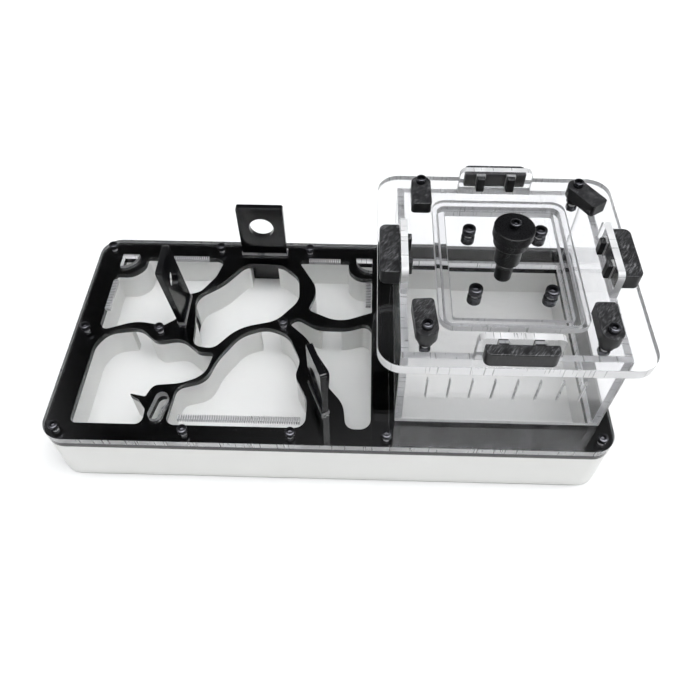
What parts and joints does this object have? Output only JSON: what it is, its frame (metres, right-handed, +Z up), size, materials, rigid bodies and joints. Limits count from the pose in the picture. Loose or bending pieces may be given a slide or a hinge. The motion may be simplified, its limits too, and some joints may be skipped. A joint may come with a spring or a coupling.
{
  "type": "acrylic ant farm with foraging box",
  "caption": "Flat ant nest with curved chambers under a black mask and a clear cover, drop-in gates, and a clear foraging box with latched lid, locking keys and feeder plug.",
  "frame": {"origin": "centre of the underside of the base plate", "axes": "+X along the nest towards the foraging box, +Y to the back where the tube port opens, +Z up"},
  "size_m": [0.253, 0.1226, 0.1063],
  "materials": {
    "white_body": "satin",
    "white_base": "satin",
    "black_sheet": "polished",
    "clear_acrylic": "polished, clear",
    "black_acrylic": "polished",
    "black_satin": "satin, scratched faces",
    "black_screw": "black oxide",
    "brass_insert": "turned",
    "wick": "absorbent"
  },
  "bodies": {
    "nest": {"base_plate": "white_base", "cover_inserts": "brass_insert", "cover_plate": "clear_acrylic", "cover_screws": "black_screw", "latch_nuts": "black_screw", "latch_screws": "black_screw", "latch_spacers": "black_satin", "mask_sheet": "black_sheet", "nest_body": "white_body", "top_frame": "clear_acrylic", "wall_back": "clear_acrylic", "wall_front": "clear_acrylic", "wall_left": "clear_acrylic", "wall_right": "clear_acrylic", "wick_back_left": "wick", "wick_back_right": "wick", "wick_front": "wick"},
    "lid": {"lid_plate": "clear_acrylic", "lid_ring": "clear_acrylic", "lid_screws": "black_screw", "lid_nuts": "black_screw"},
    "feeder_plug": {"plug_nozzle": "black_satin", "plug_body": "black_satin", "plug_collar": "black_satin", "plug_cap": "black_satin", "plug_screw": "black_screw"},
    "gate_back": {"gate_back": "black_acrylic"},
    "gate_left": {"gate_left": "black_acrylic"},
    "gate_right": {"gate_right": "black_acrylic"},
    "key_back": {"key_back": "black_satin"},
    "key_front": {"key_front": "black_satin"},
    "key_left": {"key_left": "black_satin"},
    "key_right": {"key_right": "black_satin"},
    "latch_back_left": {"latch_back_left": "black_satin"},
    "latch_back_right": {"latch_back_right": "black_satin"},
    "latch_front_left": {"latch_front_left": "black_satin"},
    "latch_front_right": {"latch_front_right": "black_satin"}
  },
  "joints": [
    {"name": "gate_back_lift", "type": "slide", "parent": "nest", "child": "gate_back", "axis": [0, 0, 1], "range_m": [0, 0.027]},
    {"name": "gate_left_lift", "type": "slide", "parent": "nest", "child": "gate_left", "axis": [-0.1045, 0, 0.9945], "range_m": [0, 0.027]},
    {"name": "gate_right_lift", "type": "slide", "parent": "nest", "child": "gate_right", "axis": [0, 0, 1], "range_m": [0, 0.027]},
    {"name": "key_front_slide", "type": "slide", "parent": "nest", "child": "key_front", "axis": [0, -1, 0], "range_m": [0, 0.008]},
    {"name": "key_back_slide", "type": "slide", "parent": "nest", "child": "key_back", "axis": [0, 1, 0], "range_m": [0, 0.008]},
    {"name": "key_left_slide", "type": "slide", "parent": "nest", "child": "key_left", "axis": [-1, 0, 0], "range_m": [0, 0.008]},
    {"name": "key_right_slide", "type": "slide", "parent": "nest", "child": "key_right", "axis": [1, 0, 0], "range_m": [0, 0.008]},
    {"name": "latch_front_left_turn", "type": "hinge", "parent": "nest", "child": "latch_front_left", "pos_m": [0.039, -0.0419, 0.0884], "axis": [0, 0, 1], "range_deg": [-50, 30]},
    {"name": "latch_front_right_turn", "type": "hinge", "parent": "nest", "child": "latch_front_right", "pos_m": [0.1084, -0.0419, 0.0884], "axis": [0, 0, -1], "range_deg": [-45, 30]},
    {"name": "latch_back_left_turn", "type": "hinge", "parent": "nest", "child": "latch_back_left", "pos_m": [0.0395, 0.0415, 0.0884], "axis": [0, 0, -1], "range_deg": [-45, 30]},
    {"name": "latch_back_right_turn", "type": "hinge", "parent": "nest", "child": "latch_back_right", "pos_m": [0.1096, 0.0408, 0.0884], "axis": [0, 0, 1], "range_deg": [-80, 20]},
    {"name": "lid_lift", "type": "slide", "parent": "nest", "child": "lid", "axis": [0, 0, 1], "range_m": [0, 0.024]},
    {"name": "feeder_plug_lift", "type": "slide", "parent": "lid", "child": "feeder_plug", "axis": [0, 0, 1], "range_m": [0, 0.016]}
  ]
}
